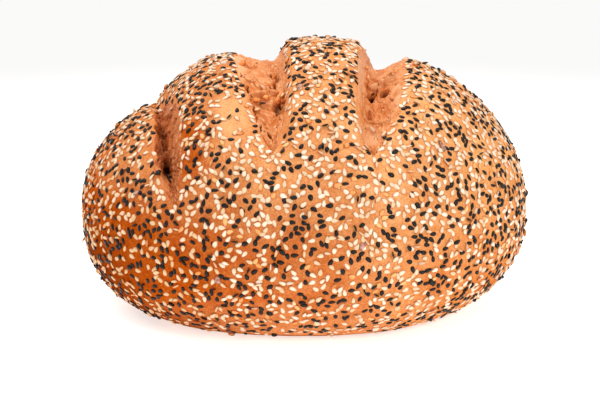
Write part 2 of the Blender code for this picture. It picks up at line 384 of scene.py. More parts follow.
SLASHES = (
    Slash(
        name="left", crown_x=-65.0, end_x=-54.0,
        profile=(
            (-17, 0), (-8, 0.6), (-4.2, 1.6), (-3, 3.4), (-1.8, 7.4), (-0.3, 8.8), (1.6, 7.6),
            (4.5, 4.2), (7.5, 1.2), (10, 0.3), (14, 0),
        ),
        back_profile=((-32, 0), (-14, 2.4), (-3, 5), (1, 5.6), (4.5, 1.4), (10, 0)),
        front=86, back=66,
        left_edge=(
            (-2, 1.4), (4, 0.8), (10, -0.6), (17, -2.2), (28, -3.2), (43, -4.2), (53, -4.9), (58, -5),
            (63, -4.8), (69, -2.8), (75, 2),
        ),
        right_edge=(
            (-2, 1.4), (4, 2), (10, 2.8), (17, 4.4), (28, 6.9), (43, 6.6), (53, 6.2), (62, 5.5),
            (70, 4), (75, 2),
        ),
        ragged=(1.1, 0.6), step=(0.1, 0.1), seam=(1.2, 0.5),
        pits=(
            (59, -0.8, 3.2, 12, 5, 0), (60, -1.4, 2.8, 5.5, 4.2, 0.1), (50, -2.6, 2.4, 8, 2.6, 0.2),
            (46, -0.8, 2.2, 10, 2.4, 0.1), (36, -1.4, 3, 18, 3, 0.1), (67, 0.8, 1.4, 8, 2, 0.2),
            (27, 2.6, 1.2, 2.2, 1.6, 0.3), (43, 3.4, 0.9, 2.4, 1.4, 0.3),
        ),
        strands=((20, 0.2, 30, 4.6, 1.2, 1.4), (34, -3, 39, 3, 1.2, 1.2), (44, 4, 66, 1.6, 1, 1)),
        floury=((20, 3.0, 3.0, 9), (66, -2.8, 2.0, 8)),
        toasted=((54, -1.6, 3.4, 20), (34, -1.8, 2.6, 13), (58, 2.6, 3, 15)),
        seed=1,
    ),
    Slash(
        name="middle", crown_x=-18.0, end_x=-13.5,
        profile=(
            (-26, 0), (-17, 2.2), (-10, 5.2), (-6, 8), (0, 9.8), (5, 10.4), (7.6, 9.2), (10.2, 3.4),
            (12, 1.6), (20, 0),
        ),
        front=66, back=64,
        left_edge=(
            (-55, 0), (-45, -6), (-30, -9.5), (-12, -12), (2, -13.3), (17, -12.4), (24, -10.2),
            (28, -9), (37, -7), (46, -4.9), (50, -3.3), (54, -2.2), (56, -1), (57.5, 0.3),
        ),
        right_edge=(
            (-55, 0), (-45, 5.5), (-30, 8.5), (-12, 9.4), (2, 9.3), (22, 8.3), (34, 7.9), (42, 6.8),
            (46, 5.8), (50, 4.3), (54, 3), (56, 1.8), (57.5, 0.5),
        ),
        ragged=(0.7, 0.7), step=(0.2, 0.1), seam=(1.5, 0.3),
        pits=(
            (36, 4.4, 4.2, 10, 3.4, 0), (35, -2, 5, 4.5, 1.8, 0), (33, 5.4, 1.1, 3, 2.4, 0.2),
            (38, 3.4, 0.8, 3.5, 1.8, 0.2), (42, 5, 0.8, 3, 1.6, 0.2), (16, 5.2, 1.3, 6, 3.2, 0.3),
            (22, 3.6, 1, 5, 2.4, 0.3), (27, -8, 0.8, 5.4, 2.2, 0.3), (38, -5.8, 0.7, 6, 1.7, 0.3),
            (47, -3.4, 0.8, 4, 2.2, 0.3), (19, -9.4, 0.9, 1.8, 1.8, 0.3),
        ),
        strands=(
            (31, -7.4, 27, 1, 1.7, 2.4), (26, 0.6, 29, 8, 1.6, 2.2), (2, -8, 18, 2, 1.8, 1.2),
            (14, -7, 25, -2.5, 1.5, 1.2), (40, -4.4, 50, 1.6, 1.4, 1.1), (-8, 1, 20, 7, 1.4, 1.4),
            (8, -9.5, 10, -7.4, 1.5, 1.8),
        ),
        floury=((8, -11.5, 4.4, 24),),
        toasted=(
            (41, 1, 6, 16), (19, 3.4, 2.6, 10), (26, -8.2, 1.8, 9), (34, -2.6, 5.4, 3.4),
            (10, -7, 3, 3), (52, 0.6, 2.4, 6), (-14, 2, 4, 12), (-34, -1.4, 3.4, 11),
        ),
        seed=2,
    ),
    Slash(
        name="right", crown_x=35.2, end_x=28.5,
        profile=(
            (-22, 0), (-12.5, 0.9), (-10.4, 2), (-8.8, 5), (-6.6, 10.2), (-4.6, 11.8), (-3, 11.8),
            (0.5, 9.6), (4.5, 6.6), (8.5, 3.2), (13, 1.2), (21, 0),
        ),
        front=67, back=62,
        left_edge=(
            (-54, 0), (-46, -5), (-30, -8.6), (-12, -10.2), (10, -10.6), (26, -9.7), (37, -8.2),
            (44, -6.9), (48, -6.5), (52, -6), (54.5, -4.4), (56.5, -1.8), (57.5, -0.7),
        ),
        right_edge=(
            (-54, 0), (-46, 4), (-30, 7.6), (-12, 9.2), (8, 9.7), (18, 10.6), (26, 9.4), (34, 8.6),
            (40, 9.6), (43, 7.2), (46, 4.8), (50, 3.2), (54, 2.4), (56.5, 0.4), (57.5, -0.7),
        ),
        ragged=(0.6, 1.1), step=(0.05, 0.05), seam=(0.4, 0.5),
        pits=(
            (26, -3.6, 2.1, 5.4, 6, 0.45), (25, 2.4, 2.1, 4.8, 6, 0.45),
            (23.4, -0.6, 5.6, 3, 2.2, 0.2), (38, -4, 1.8, 8, 2.6, 0), (50, -1.8, 5.2, 7, 1.5, 0.5),
            (31, 5.6, 0.9, 1.6, 2, 0.3), (21, 6.8, 1.1, 1.6, 2.4, 0.3), (28, -7.6, 0.7, 1.3, 1.8, 0.3),
            (12, -8, 0.7, 1.6, 1.8, 0.3), (41, 4.4, 0.9, 1.5, 1.6, 0.3), (34, 1.8, 0.7, 1.2, 1.6, 0.3),
            (18, -5.6, 0.8, 3, 2, 0.3),
        ),
        strands=(
            (12, -3.6, 6, 6, 5, 2), (21.5, -5.4, 16, 6.8, 1.1, 3.6), (9, -6, 20, -5, 1.4, 2.8),
            (20, -0.6, 29, -0.4, 1, 1.6), (41, -6.4, 43, 1, 1.2, 1.6), (43, 1, 41, 6, 1.1, 1),
        ),
        # the patches on the ledge and on the left wall, which faces the key lamp, are partly painted light
        floury=(
            (50, -1.8, 5, 6), (30, 7.4, 3, 12), (20, -2.2, 3.4, 1.6), (17, 4, 3.4, 1.6),
            (18, -8.6, 2.4, 34),
        ),
        toasted=(
            (37, -3, 2.2, 11), (24, 0, 6, 5), (34, 3.6, 5, 10), (28, 7.4, 2.6, 5), (11, 6, 3, 4),
            (20, -6, 1.4, 5), (44, 1.6, 4.6, 2.4), (-10, -2.4, 3.6, 10), (-32, 1.2, 3, 13),
        ),
        seed=3, roughness=0.9, holes=FINE_HOLES,
    ),
)


# ---------------- the loaf's surface


def section_radius(x, lean):
    """How far out the loaf reaches from its long axis before slashing, as a share of its half sizes."""
    station = np.clip(np.abs(x) / (LENGTH / 2), 0.0, 1.0)
    slumped = SLUMP * ease((-x / (LENGTH / 2) - SLUMP_FROM) / (SLUMP_TO - SLUMP_FROM))
    side, up = np.abs(np.sin(lean)), np.cos(lean)
    under = up < 0.0
    up = np.where(under, -up * CROWN / DROP, up / (1.0 - slumped))
    near, far = np.zeros_like(station), np.full_like(station, 1.3)
    for _ in range(26):  # halve the gap between a radius inside the outline and one outside
        radius = (near + far) / 2
        heading = -np.sign(x) * station / np.sqrt(station**2 + radius**2 * (side**2 + up**2) + 1e-12)
        power = np.where(under, UNDERSIDE_POWER + LEFT_FULLNESS * ease(heading), CROWN_POWER)
        plan = station**PLAN_POWER + (radius * side) ** PLAN_POWER
        outside = plan ** (power / PLAN_POWER) + (radius * up) ** power > 1.0
        near, far = np.where(outside, near, radius), np.where(outside, radius, far)
    return (near + far) / 2


def raw_surface(x, lean, sink):
    """Points of the loaf about its base's middle, sunk by that much towards its long axis."""
    radius = section_radius(x, lean)
    y = -radius * np.sin(lean) * DEPTH / 2
    z = radius * np.cos(lean) * CROWN
    points = np.stack([x, y, z], axis=-1)
    swell = sum(height * GRAIN(points, size) for height, size in SWELLS)
    shrink = 1.0 - (sink - swell) / np.maximum(np.hypot(y, z), 20 * MM)
    z = WAIST + z * shrink
    # Flat underneath, with a rounded rim
    z = np.where(z > RIM_ROUNDING, z, np.maximum(z + RIM_ROUNDING, 0.0) ** 2 / (4 * RIM_ROUNDING))
    return np.stack([x, y * shrink, z], axis=-1)


def trough_sink(x, lean):
    """All slashes and dents, without the crumb's own holes."""
    sink = sum(slash.sink(x, lean) for slash in SLASHES)
    for dent_x, dent_lean, radius, depth in DENTS:
        off = np.hypot(x - dent_x, (lean - dent_lean) * DEPTH / 2) / radius
        sink = sink + depth * np.exp(-(off**2) * 2.0)
    return sink


def fit_to_solid():
    """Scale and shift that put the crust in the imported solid's box, with room for its seeds."""
    stations = np.cos(np.linspace(0.0, math.pi, 240)) * LENGTH / 2
    x, lean = np.meshgrid(stations, np.linspace(-math.pi, math.pi, 240), indexing="ij")
    points = raw_surface(x, lean, trough_sink(x, lean)).reshape(-1, 3)
    low, high = points.min(axis=0), points.max(axis=0)
    room = np.array([SEED_ROOM, SEED_ROOM, 0.0])
    scale = (HIGH - LOW - room - SEED_ROOM) / (high - low)
    return scale, LOW + room - low * scale


FIT_SCALE, FIT_SHIFT = fit_to_solid()


def surface(x, lean, sink):
    """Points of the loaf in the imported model's frame."""
    return raw_surface(x, lean, sink) * FIT_SCALE + FIT_SHIFT


def grid_normals(points):
    """Outward unit normals of a grid of points whose rows run along x and columns along lean."""
    cross = np.cross(np.gradient(points, axis=1), np.gradient(points, axis=0))
    return cross / np.maximum(np.linalg.norm(cross, axis=-1, keepdims=True), 1e-12)


# ---------------- meshes


def put(name, data):
    """A new object in the scene, which holds this mesh, lamp or camera."""
    made = bpy.data.objects.new(name, data)
    bpy.context.scene.collection.objects.link(made)
    return made


def make_piece(name, points, faces, corner_uv, values, finish):
    """A mesh piece that rides with the loaf. values are numbers for each point, by name."""
    mesh = bpy.data.meshes.new(name)
    mesh.from_pydata(points.reshape(-1, 3).tolist(), [], faces)
    uv_map = mesh.uv_layers.new(name="OFBake")
    uv_map.data.foreach_set("uv", np.asarray(corner_uv, np.float32).ravel())
    for value_name, numbers in values.items():
        stored = mesh.attributes.new(value_name, "FLOAT", "POINT")
        stored.data.foreach_set("value", np.asarray(numbers, np.float32).ravel())
    mesh.shade_smooth()
    mesh.materials.append(finish)
    piece = put(name, mesh)
    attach(piece, "root")
    return piece


def grid_faces(rows, columns, wrap=False):
    """Faces between the points of a grid stored row by row, and each corner's place in a map."""
    row, column = np.meshgrid(np.arange(rows - 1), np.arange(columns - (not wrap)), indexing="ij")
    row, column = row.ravel(), column.ravel()
    corner_rows = np.stack([row, row, row + 1, row + 1], axis=1)
    corner_columns = np.stack([column, column + 1, column + 1, column], axis=1)
    faces = corner_rows * columns + corner_columns % columns
    spans = (rows - 1, columns if wrap else columns - 1)
    uv = np.stack([corner_rows / spans[0], corner_columns / spans[1]], axis=-1)
    return faces, uv


# ---------------- crust


def ring_stations():
    """Stations of the crust's rings, closer together at the slashes."""
    fine = np.linspace(0.0, math.pi, 4000)
    x = -np.cos(fine) * LENGTH / 2
    crowding = 1.0 + sum(
        RING_CROWDING * np.exp(-(((x - slash.crown_x) / CROWDING_REACH) ** 4)) for slash in SLASHES
    )
    share = np.cumsum(crowding)
    share = (share - share[0]) / (share[-1] - share[0])
    return -np.cos(np.interp(np.linspace(0.0, 1.0, RINGS + 2)[1:-1], share, fine)) * LENGTH / 2


def crust_grid():
    """x and lean of each crust point. The rings bend along with the slashes, but not at the loaf's ends."""
    upper = np.linspace(-UPPER_REACH, UPPER_REACH, UPPER_SPOKES, endpoint=False)
    under = np.linspace(UPPER_REACH, 2 * math.pi - UPPER_REACH, UNDER_SPOKES, endpoint=False)
    lean = np.concatenate([upper, under])
    lean = np.where(lean > math.pi, lean - 2 * math.pi, lean)
    x, lean = np.meshgrid(ring_stations(), lean, indexing="ij")
    bend = np.zeros_like(x)
    inward = ease((LENGTH / 2 - np.abs(x)) / END_REACH)
    for slash in SLASHES:
        run = np.where(lean > 0.0, slash.front, slash.back)
        past_end = ease((np.abs(lean) - run) / (math.pi - run))
        near = inward * np.exp(-(((x - slash.crown_x) / BEND_REACH) ** 2))
        bend += near * np.clip(lean / run, -1.0, 1.0) * (1.0 - past_end) * (slash.end_x - slash.crown_x)
    return np.clip(x + bend, -LENGTH / 2, LENGTH / 2), lean


def patches_left_out(patches, x, lean):
    """0 in the middle of each patch, 1 outside them, and smooth between."""
    share = np.ones_like(x)
    for patch_x, patch_lean, wide, long in patches:
        off = np.hypot((x - patch_x) / wide, (lean - patch_lean) * DEPTH / 2 / long)
        share *= ease((off - 0.40) / 0.75)
    return share


def build_crust(finish):
    """The whole crust, with a backing under each slash's crumb."""
    x, lean = crust_grid()
    sink = trough_sink(x, lean)
    bare, edge = np.zeros_like(x), np.zeros_like(x)
    for slash in SLASHES:
        across, left, right = slash.cut(x, lean)
        inside = ease((across - left) / TORN_EDGE) * ease((right - across) / TORN_EDGE)
        sink = sink + inside * (slash.hollow(x, lean) + BACKING)
        bare = np.maximum(bare, inside)
        gap = np.maximum(left - across, across - right)
        beside = (right - left > 1.0 * MM) & (gap > 0)
        edge = np.maximum(edge, np.where(beside, np.exp(-gap / EDGE_GLOW), 0.0))
    points = surface(x, lean, sink)
    rings, spokes = x.shape
    faces, uv = grid_faces(rings, spokes, wrap=True)
    faces, uv = faces.tolist(), uv.reshape(-1, 2).tolist()

    # Each end closes in a fan of triangles about its tip
    tips = []
    for ring, end_x, turn in ((0, -LENGTH / 2, 1), (rings - 1, LENGTH / 2, -1)):
        middle = points[ring].mean(axis=0)
        middle[0] = end_x * FIT_SCALE[0] + FIT_SHIFT[0]
        for spoke in range(spokes):
            sides = (spoke + 1, spoke)[::turn]
            faces.append([x.size + len(tips), *(ring * spokes + side % spokes for side in sides)])
            uv += [[ring / (rings - 1), side / spokes] for side in (spoke + 0.5, *sides)]
        tips.append(middle)
    points = np.vstack([points.reshape(-1, 3), tips])
    # darker beside the left slash: browner crust and painted shade
    toast = 1.0 - patches_left_out(BROWNER_AND_SHADED_PATCHES, x, lean)
    pale = 1.0 - patches_left_out(BALD_PATCHES, x, lean)
    values = {"bare": bare, "edge": edge, "pale": pale, "toast": toast}
    values = {name: np.append(numbers.ravel(), [0.0, 0.0]) for name, numbers in values.items()}
    piece = make_piece("crust", points, faces, uv, values, finish)
    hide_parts("loaf")
    return piece, x, lean, bare


# ---------------- crumb


def crumb_columns(slash):
    """Where the crumb's columns lie across it, from 0 to 1, evenly spaced down its walls."""
    share = np.linspace(0.0, 1.0, 600)
    lean = np.full_like(share, 0.35 * slash.crumb[1])  # where the crumb shows most
    across = slash.crumb_across(share, lean)
    x = slash.station(lean, across)
    depth = slash.sink(x, lean) + slash.hollow(x, lean)
    steps = np.hypot(np.diff(across), np.diff(depth))
    length = np.concatenate([[0.0], np.cumsum(steps)])
    return np.interp(np.linspace(0.0, length[-1], CRUMB_COLUMNS), length, share)


def creases(place, size, sharpness):
    """Noise that is 1 along its creases and lower beside them."""
    return 1.0 - sharpness * np.abs(GRAIN(place, size))


def crumb_relief(place, steep, flour, roughness):
    """How high the torn crumb's lumps, folds and strands stand over its sheet."""
    lumps = GRAIN(place, (4.0 * MM, 4.6 * MM, 1.0))
    folds = creases(place + 0.19, (3.4 * MM, 5.5 * MM, 1.0), 2.4)
    knobs = GRAIN(place + 0.37, (1.7 * MM, 2.0 * MM, 1.0))
    across_strands = creases(place + 0.31, (5.0 * MM, 1.3 * MM, 1.0), 2.2)
    down_strands = creases(place + 0.57, (1.1 * MM, 4.0 * MM, 1.0), 2.2)
    pebbles = GRAIN(place + 0.83, (0.8 * MM, 0.9 * MM, 1.0))
    strands = across_strands + (down_strands - across_strands) * steep
    height = 0.50 * MM * lumps + 0.26 * MM * folds + 0.16 * MM * knobs + 0.28 * MM * strands
    return height * roughness * (1.0 - 0.65 * flour) + (0.09 + 0.05 * flour) * MM * pebbles


def crumb_seams(slash, lean, across, down, edges):
    """How deep the crumb is split along the crust's left and right edges."""
    deepest = np.zeros_like(down)
    split = np.stack([np.full_like(down, slash.seed), down, np.zeros_like(down)], axis=-1)
    for lip, side, depth in zip(edges, (1, -1), slash.seam):
        open_here = ease(1.6 * GRAIN(split + side, 3.2 * MM) + 0.3)
        seam = np.exp(-((((across - lip) * side - 0.6 * MM) / (0.45 * MM)) ** 2)) * open_here
        seam *= ease((slash.crumb[1] - lean) / math.radians(14))  # closed towards its front end
        deepest = np.maximum(deepest, depth * seam)
    return deepest


def crumb_holes(slash, over, down):
    """How deep the crumb's small holes are, and how far inside one each point is."""
    rng = np.random.default_rng(100 + slash.seed)
    deepest, pores = np.zeros_like(over), np.zeros_like(over)
    for count, least, greatest, shortest, longest, depth_share in slash.holes:
        for _ in range(count):
            middle = (rng.uniform(over.min(), over.max()), rng.uniform(down.min(), down.max()))
            radius = rng.uniform(least, greatest)
            stretch = rng.uniform(shortest, longest)
            off = np.hypot((over - middle[0]) / radius, (down - middle[1]) / (radius * stretch))
            pore = 1.0 - ease((off - 0.3) / 0.7)
            deepest = np.maximum(deepest, depth_share * radius * pore)
            pores = np.maximum(pores, pore)
    return deepest, pores


def build_crumb(slash, finish):
    """The torn crumb in one slash: a sheet with strands, splits and holes, tucked under the crust."""
    lean = np.linspace(slash.crumb[0] - 0.02, slash.crumb[1] + 0.02, CRUMB_ROWS)
    share, lean = np.meshgrid(crumb_columns(slash), lean, indexing="ij")
    left, right = slash.lips(lean)
    across = slash.crumb_across(share, lean)
    x = slash.station(lean, across)
    outside = np.maximum(np.maximum(left - across, across - right), 0.0)
    step = slash.step[0] + (slash.step[1] - slash.step[0]) * ease(share)
    hollow = slash.hollow(x, lean)
    base = trough_sink(x, lean) + step + hollow + 0.5 * outside  # it sinks on under the crust
    sheet = surface(x, lean, base)

    # Distances over the sheet, so that strands keep their size down the walls
    over = np.cumsum(np.linalg.norm(np.diff(sheet, axis=0, prepend=sheet[:1]), axis=-1), axis=0)
    down = np.cumsum(np.linalg.norm(np.diff(sheet, axis=1, prepend=sheet[:, :1]), axis=-1), axis=1)
    place = np.stack([over, down, np.full_like(over, slash.seed * 0.1)], axis=-1)
    place[..., 0] += 1.6 * MM * GRAIN(place + 0.71, (6 * MM, 9 * MM, 1.0))
    slope = np.abs(np.gradient(base, axis=0) / np.maximum(np.gradient(across, axis=0), 1e-9))
    steep = ease((slope - 0.5) / 1.2)
    flour = slash.patched(slash.floury, x, lean, 0.5)

    seams = crumb_seams(slash, lean, across, down, (left, right)) * (1.0 - flour)
    holes, pores = crumb_holes(slash, over, down)
    holes = np.maximum(seams, holes)
    height = crumb_relief(place, steep, flour, slash.roughness) - holes
    tucked = ease(outside / (0.6 * MM))  # no strand stands up through the crust
    height = np.where(height > 0, height * (1.0 - tucked), height)
    points = sheet + grid_normals(sheet) * height[..., None]
    # How deep each point lies, which sets the painted shade in its holes and hollows
    deep = np.maximum(hollow, 0.0) / (6 * MM) + holes / (4 * MM) + 0.50 * pores
    values = {
        "ridge": np.clip(height / (0.9 * MM), -1.0, 1.0),
        "deep": np.clip(deep, 0.0, 1.0),
        "steep": steep,
        "floury": flour,
        "toast": slash.patched(slash.toasted, x, lean, 0.8),
    }
    faces, uv = grid_faces(*over.shape)
    name = "crumb_" + slash.name
    make_piece(name, points, faces.tolist(), uv.reshape(-1, 2), values, finish)


# ---------------- seeds


def seed_template(point, taper):
    """A lens one unit long, wide and thick, lying flat: its points, faces, map and rim share.

    point is how far its tip sticks out of an oval, and taper how much narrower that end is.
    """
    turn = np.arange(SEED_SIDES) / SEED_SIDES * 2 * math.pi
    tip = np.maximum(np.cos(turn), 0.0) ** 5
    length, width = np.cos(turn) / 2 + point * tip, np.sin(turn) / 2 * (1.0 - taper * np.cos(turn))
    points, edge = [(0.02, 0.0, 0.5)], [0.0]
    for share, height in ((0.64, 0.38), (1.0, 0.0)):  # two rings: how far out and how high
        points += [(x * share, y * share, height) for x, y in zip(length, width)]
        edge += [share] * SEED_SIDES
    points.append((0.02, 0.0, -0.42))
    edge.append(1.0)

    # Its top point, two rings and bottom point: where each starts, and how far out it is in the map
    starts, reaches = (0, 1, 1 + SEED_SIDES, 1 + 2 * SEED_SIDES), (0.0, 0.4, 0.72, 1.0)

    def corner(ring, place):
        """Which point it is, and where it is in the map."""
        angle, reach = place / SEED_SIDES * 2 * math.pi, 0.47 * reaches[ring]
        round_ring = place % SEED_SIDES if ring in (1, 2) else 0
        return starts[ring] + round_ring, (0.5 + reach * math.cos(angle), 0.5 + reach * math.sin(angle))

    faces, uv = [], []
    for side in range(SEED_SIDES):
        for corners in (
            ((0, 0), (1, side), (1, side + 1)),
            ((1, side), (2, side), (2, side + 1)),
            ((1, side), (2, side + 1), (1, side + 1)),
            ((2, side), (3, side + 0.5), (2, side + 1)),
        ):
            face, places = zip(*(corner(ring, place) for ring, place in corners))
            faces.append(face)
            uv.append(places)
    return np.array(points), np.array(faces), np.array(uv), np.array(edge)


def turned(first, second, angles):
    """Directions turned from the first towards the second by these angles."""
    return first * np.cos(angles)[:, None] + second * np.sin(angles)[:, None]


def seed_frames(normals, spins, rolls, pitches):
    """A rotation for each seed: up its normal, spun about it, then rolled about its length and pitched."""
    side = np.cross(normals, (0.37, 0.21, 0.9))
    side /= np.linalg.norm(side, axis=1, keepdims=True)
    along = turned(side, np.cross(normals, side), spins)
    up = turned(normals, np.cross(normals, along), rolls)
    wide = np.cross(up, along)
    lifted = turned(along, up, pitches)
    return np.stack([lifted, wide, np.cross(lifted, wide)], axis=2)


def build_seeds(name, size, shape, spots, finish, slot, rng, spins=None):
    """One joined mesh of seeds. spots has their middles, normals, rolls, pitches, lifts and how dark each
    is, from browning and, on the crust, painted shade.
    """
    middles, normals, rolls, pitches, lifts, toasting_and_shade = spots
    count = len(middles)
    sizes = np.broadcast_to(np.atleast_2d(size), (count, 3))
    shape, faces, uv, edge = seed_template(*shape)
    spread = rng.normal(1.0, SEED_SPREAD, size=(count, 3)).clip(0.8, 1.22)
    spins = rng.uniform(0, 2 * math.pi, count) if spins is None else spins
    frames = seed_frames(normals, spins, rolls, pitches)
    local = shape[None] * (sizes * spread)[:, None, :]
    bow = rng.normal(0.0, SEED_BOW, count)[:, None] * sizes[:, 1:2]
    local[:, :, 1] += bow * (2 * local[:, :, 0] / sizes[:, 0:1]) ** 2
    points = middles[:, None, :] + (normals * lifts[:, None])[:, None, :]
    points = points + np.einsum("nij,nkj->nki", frames, local)
    faces = (faces[None] + (np.arange(count) * len(shape))[:, None, None]).reshape(-1, 3)
    cells = math.ceil(math.sqrt(count))
    cell = np.stack([np.arange(count) % cells, np.arange(count) // cells], axis=1)
    uv = (uv[None] + cell[:, None, None, :]) / cells
    # each seed's tone: random, plus its browning and painted shade
    tone = np.repeat(np.clip(0.8 * rng.random(count) + toasting_and_shade, 0.0, 1.0), len(shape))
    values = {"tone": tone, "rim": np.tile(edge, count)}
    make_piece(name, points, faces.tolist(), uv.reshape(-1, 2), values, finish)


def lowness(z):
    """0 from the middle of the loaf's height up, and 1 near its base."""
    return ease((0.55 - z / HEIGHT) / 0.35)


def leftness(x):
    """0 from near the loaf's middle to the right, and 1 near its left end."""
    return ease((-x / LENGTH - 0.10) / 0.28)


def seed_weight(points, sink, bare, x, lean):
    """How thickly seeds lie at each crust point, as a share of the usual."""
    height = points[..., 2]
    weight = np.ones_like(x)
    weight *= 1.0 + 0.22 * ease((x / (LENGTH / 2) + 0.2) / 0.9)  # the right hump got more
    weight *= 1.0 + 0.50 * ease((height / HEIGHT - 0.55) / 0.35)  # and the crown
    weight *= 1.0 - lowness(height) * (0.26 + 0.12 * leftness(x))  # and the flanks fewer
    for slash in SLASHES:
        across, left, right = slash.cut(x, lean)
        gap = np.maximum(left - across, across - right)
        near_end = np.maximum(slash.crumb[0] - lean, lean - slash.crumb[1]) * DEPTH / 2
        gap = np.hypot(np.maximum(gap, 0.0), np.maximum(near_end, 0.0))
        weight *= ease((gap + 0.2 * MM) / (1.2 * MM))  # none on the crumb
    weight *= BALD_SHARE + (1.0 - BALD_SHARE) * patches_left_out(BALD_PATCHES + SPARSE_PATCHES, x, lean)
    weight *= 1.0 + 0.30 * GRAIN(points, 13 * MM)  # clumps
    slope = np.abs(np.gradient(sink, axis=0)) / np.maximum(np.abs(np.gradient(x, axis=0)), 0.01 * MM)
    slope *= np.abs(x) < 0.42 * LENGTH
    weight *= 1.0 - 0.85 * ease((slope - 0.50) / 0.50)  # few stayed on the steep walls
    weight *= ease((height - 0.9 * MM) / (1.5 * MM))  # none under the loaf
    weight *= 0.30 + 0.70 * ease(height / (16 * MM))
    return np.clip(weight, 0.0, 2.5) * (bare < 0.01)


def read_all(items, name):
    """One vector of each item of a mesh, as rows."""
    numbers = np.zeros(len(items) * 3, np.float32)
    items.foreach_get(name, numbers)
    return numbers.reshape(-1, 3).astype(float)


def scatter(crust, weight, rng):
    """Random places for seeds on the crust, with the surface's normal at each."""
    points = read_all(crust.data.vertices, "co")
    normals = read_all(crust.data.vertex_normals, "vector")
    quads, _ = grid_faces(*weight.shape, wrap=True)
    triangles = np.vstack([quads[:, [0, 1, 2]], quads[:, [0, 2, 3]]])
    corner = points[triangles]
    area = np.linalg.norm(np.cross(corner[:, 1] - corner[:, 0], corner[:, 2] - corner[:, 0]), axis=1) / 2
    load = area * weight.ravel()[triangles].min(axis=1)
    count = int(load.sum() * 1e4 * SEEDS_PER_CM2)
    chosen = rng.choice(len(triangles), size=count, p=load / load.sum())
    share = rng.random((count, 2))
    share = np.where(share.sum(axis=1, keepdims=True) > 1.0, 1.0 - share, share)
    share = np.column_stack([1.0 - share.sum(axis=1), share])
    middles = np.einsum("nk,nkj->nj", share, corner[chosen])
    facing = np.einsum("nk,nkj->nj", share, normals[triangles[chosen]])
    return middles, facing / np.linalg.norm(facing, axis=1, keepdims=True)


def settle(middles, rng):
    """Which seeds stay, as most that fall on another are dropped, and how many others each lies on."""
    tree = KDTree(len(middles))
    for index, middle in enumerate(middles):
        tree.insert(Vector(middle), index)
    tree.balance()
    kept = np.ones(len(middles), bool)
    level = np.zeros(len(middles))
    for index, middle in enumerate(middles):
        near = [
            distance
            for _, other, distance in tree.find_range(Vector(middle), NEIGHBOURHOOD)
            if other < index and kept[other]
        ]
        under = sum(distance < TOUCHING for distance in near)
        if rng.random() < DROPPED_ON_ANOTHER * under + DROPPED_IN_A_CROWD * max(len(near) - 2, 0):
            kept[index] = False
        level[index] = under
    return kept, level


def spot_on_loaf(x, lean, extra):
    """The point and normal at a place on the loaf. extra gives how much deeper than the crust it lies."""
    step = 0.4 * MM
    near_x = x + np.array([0.0, step, 0.0])
    near_lean = lean + np.array([0.0, 0.0, step / (DEPTH / 2)])
    sink = trough_sink(near_x, near_lean) + extra(near_x, near_lean)
    start, right, down = surface(near_x, near_lean, sink)
    normal = np.cross(down - start, right - start)
    return start, normal / np.linalg.norm(normal)


def spot_in_slash(slash_name, lean, across):
    """The point and normal at a place on a slash's crumb."""
    slash = next(slash for slash in SLASHES if slash.name == slash_name)
    return spot_on_loaf(slash.station(lean, across), lean, slash.hollow)


def as_columns(rows):
    """Rows of middle, normal, roll, pitch, lift and darkness, as one array of each."""
    return [np.array(column) for column in zip(*rows)]


def lay_seeds(level, rng):
    """How each seed lies: its roll, pitch and lift. level is how many seeds it lies on."""
    count = len(level)
    on_edge = rng.random(count) < STANDING_SHARE
    rolls = np.where(on_edge, rng.uniform(0.9, 1.5, count), rng.normal(0.0, 0.12, count))
    rolls = np.where(level > 0, rng.normal(0.0, 0.45, count), rolls)
    pitches = rng.normal(0.0, 0.09, count) + np.where(level > 0, rng.normal(0.0, 0.3, count), 0.0)
    lifts = np.where(on_edge, STANDING_LIFT, SEED_LIFT) + level * LAYER_LIFT
    lifts += rng.normal(0.0, 0.06 * MM, count)
    return rolls, pitches, lifts


def sort_seeds(middles, rng):
    """Which seeds are pale, golden and black, by where they lie, and how dark each is: darker to the left
    and low down, partly toasted and partly painted shade.
    """
    left, low = leftness(middles[:, 0]), lowness(middles[:, 2])
    right = ease((middles[:, 0] / LENGTH - 0.10) / 0.20)
    high = ease((middles[:, 2] / HEIGHT - 0.50) / 0.35)
    black_share = BLACK_SHARE + BLACK_CLUMPING * GRAIN(middles, 9 * MM) - 0.03 * high
    black_share += left * (0.12 * high + 0.12 * low) + right * (0.05 + 0.07 * low)
    # darker seeds to the left and low down: partly toasted, partly painted shade
    toasting_and_shade = left * (0.30 + 0.55 * low) + 0.10 * low
    black = rng.random(len(middles)) < black_share
    golden_share = GOLDEN_SHARE + GOLDEN_CLUMPING * GRAIN(middles + 0.5, 20 * MM)
    golden = ~black & (rng.random(len(middles)) < golden_share)
    kinds = {"pale_sesame": ~black & ~golden, "golden_sesame": golden, "black_sesame": black}
    return kinds, toasting_and_shade


def build_sesame(crust, x, lean, bare):
    """Pale, golden and black seeds, pressed into the crust before it went in the oven."""
    rng = np.random.default_rng(7)
    sink = trough_sink(x, lean)
    weight = seed_weight(surface(x, lean, sink), sink, bare, x, lean)
    middles, normals = scatter(crust, weight, rng)
    kept, level = settle(middles, rng)
    middles, normals, level = middles[kept], normals[kept], level[kept]
    poses = lay_seeds(level, rng)
    kinds, toasting_and_shade = sort_seeds(middles, rng)
    for name, chosen in kinds.items():
        size, shape = SESAME_SHAPES[name]
        spots = [values[chosen] for values in (middles, normals, *poses, toasting_and_shade)]
        fallen = as_columns(
            (*spot_in_slash(slash_name, lean, across), roll, pitch, lift, FALLEN_TOASTING)
            for kind, slash_name, lean, across, roll, pitch, lift in FALLEN_SEEDS
            if kind == name
        )
        spots = [np.concatenate(pair) for pair in zip(spots, fallen)]
        build_seeds(name, size, shape, spots, sesame_finish(name), name, rng)


